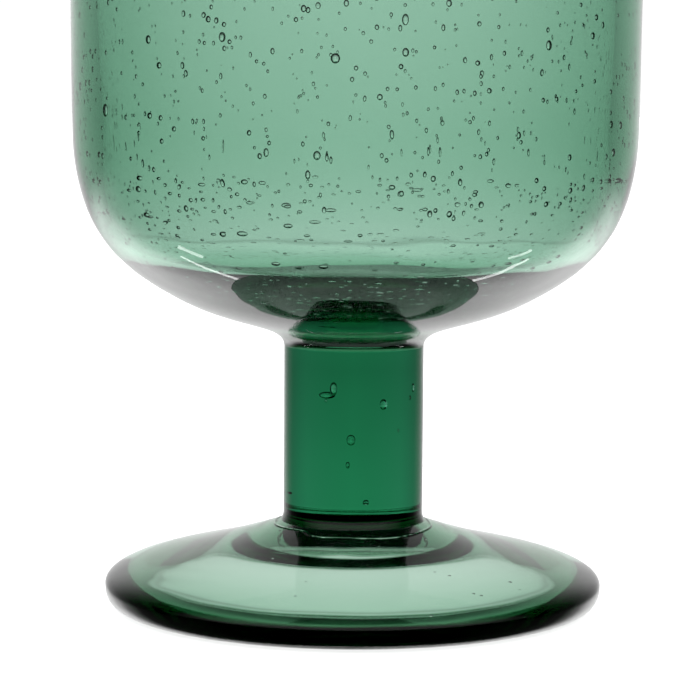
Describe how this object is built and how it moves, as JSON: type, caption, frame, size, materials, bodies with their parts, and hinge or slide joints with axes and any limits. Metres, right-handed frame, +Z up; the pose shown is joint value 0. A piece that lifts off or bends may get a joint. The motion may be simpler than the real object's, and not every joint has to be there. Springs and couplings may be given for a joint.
{
  "type": "wine glass",
  "caption": "Footed wine glass in thick green seeded glass: a deep round-bottomed bowl with straight sides on a short stout stem and a wide domed foot.",
  "frame": {"origin": "centre of the ring that the foot stands on", "axes": "+Z up along the glass's axis, from the foot to the rim; X and Y are alike, as the glass is round"},
  "size_m": [0.0858, 0.0858, 0.13],
  "materials": {
    "seeded_glass": "thick green glass full of small air bubbles, fire-polished",
    "stem_glass": "clear green glass, deeper where it is thicker, with a few air bubbles",
    "foot_glass": "clear green glass, smooth pressed and fire-polished"
  },
  "bodies": {
    "root": {"bowl": "seeded_glass", "stem": "stem_glass", "foot": "foot_glass"}
  },
  "joints": []
}
